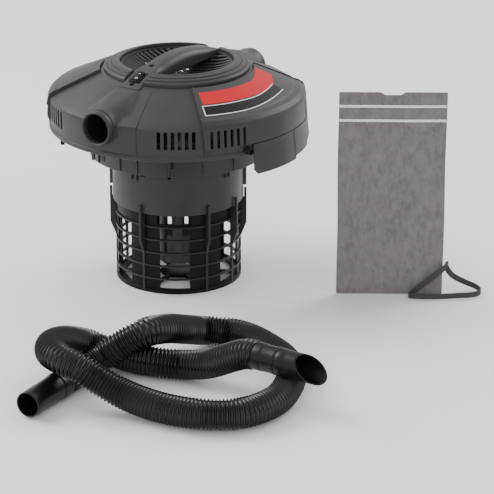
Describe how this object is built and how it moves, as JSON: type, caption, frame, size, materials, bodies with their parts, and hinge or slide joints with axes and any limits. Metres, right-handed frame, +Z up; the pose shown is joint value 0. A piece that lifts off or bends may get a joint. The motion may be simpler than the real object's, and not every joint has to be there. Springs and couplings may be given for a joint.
{
  "type": "shop vacuum",
  "caption": "Bucket-top shop vacuum: domed motor head with top handle, ports and slotted filter cage, a loose corrugated hose, a flat cloth filter bag and its elastic band.",
  "frame": {"origin": "centre of the filter cage's underside, on the motor axis", "axes": "+Z up along the motor axis; -Y towards the hose inlet port; +X towards the side panel on the right of the inlet"},
  "size_m": [0.6307, 0.7176, 0.332],
  "materials": {
    "charcoal_plastic": "satin",
    "black_plastic": "satin",
    "grey_plastic": "satin",
    "seal_foam": "matte",
    "steel": "satin",
    "aluminium": "satin",
    "copper": "satin",
    "carbon": "matte",
    "hose_plastic": "semi-gloss",
    "cuff_plastic": "satin",
    "filter_cloth": "matte",
    "elastic": "matte",
    "label_red": "satin",
    "label_white": "satin"
  },
  "bodies": {
    "head": {"upper_housing": "charcoal_plastic", "inlet_collar": "charcoal_plastic", "exhaust_collar": "charcoal_plastic", "grille_collar": "charcoal_plastic", "intake_grille": "charcoal_plastic", "handle": "charcoal_plastic", "right_guard": "charcoal_plastic", "left_guard": "charcoal_plastic", "lower_housing": "charcoal_plastic", "neck_drum": "charcoal_plastic", "switch_bezel": "black_plastic", "cord_gland": "black_plastic", "filter_cage": "black_plastic", "cage_base": "black_plastic", "left_brush_holder": "black_plastic", "right_brush_holder": "black_plastic", "float_cage": "grey_plastic", "inlet_duct": "grey_plastic", "exhaust_duct": "grey_plastic", "bucket_seal": "seal_foam", "handle_screw_1": "steel", "handle_screw_2": "steel", "housing_screw_front_left": "steel", "housing_screw_front_right": "steel", "housing_screw_rear_right": "steel", "housing_screw_rear_left": "steel", "motor_frame": "steel", "upper_bracket": "steel", "stator_core": "steel", "lower_bearing": "steel", "upper_bearing": "steel", "fan_case": "aluminium", "lower_field_coil": "copper", "upper_field_coil": "copper", "left_brush": "carbon", "right_brush": "carbon"},
    "rocker": {"rocker_switch": "black_plastic"},
    "rotor": {"motor_shaft": "steel", "armature": "steel", "commutator": "copper", "impeller": "aluminium", "impeller_nut": "steel", "cooling_fan": "black_plastic"},
    "float": {"float": "grey_plastic"},
    "hose": {"hose": "hose_plastic", "hose_cuff": "cuff_plastic", "tool_cuff": "cuff_plastic"},
    "nozzle": {"nozzle": "cuff_plastic"},
    "filter_bag": {"filter_bag": "filter_cloth"},
    "retainer_band": {"retainer_band": "elastic"}
  },
  "joints": [
    {"name": "switch_rock", "type": "hinge", "parent": "head", "child": "rocker", "pos_m": [0, -0.091, 0.3154], "axis": [1, 0, 0], "range_deg": [-14, 0]},
    {"name": "rotor_spin", "type": "hinge", "parent": "head", "child": "rotor", "pos_m": [0, 0, 0.2], "axis": [0, 0, 1], "continuous": true},
    {"name": "float_rise", "type": "slide", "parent": "head", "child": "float", "axis": [0, 0, 1], "range_m": [0, 0.062]},
    {"name": "hose_away", "type": "slide", "parent": "head", "child": "hose", "axis": [0, -1, 0], "range_m": [0, 0.12]},
    {"name": "nozzle_turn", "type": "hinge", "parent": "hose", "child": "nozzle", "pos_m": [0.38, -0.312, 0.0594], "axis": [1, 0, 0], "continuous": true},
    {"name": "bag_lift", "type": "slide", "parent": "head", "child": "filter_bag", "axis": [0, 0, 1], "range_m": [0, 0.1]},
    {"name": "band_away", "type": "slide", "parent": "head", "child": "retainer_band", "axis": [0.8387, 0.5446, 0], "range_m": [0, 0.08]}
  ]
}
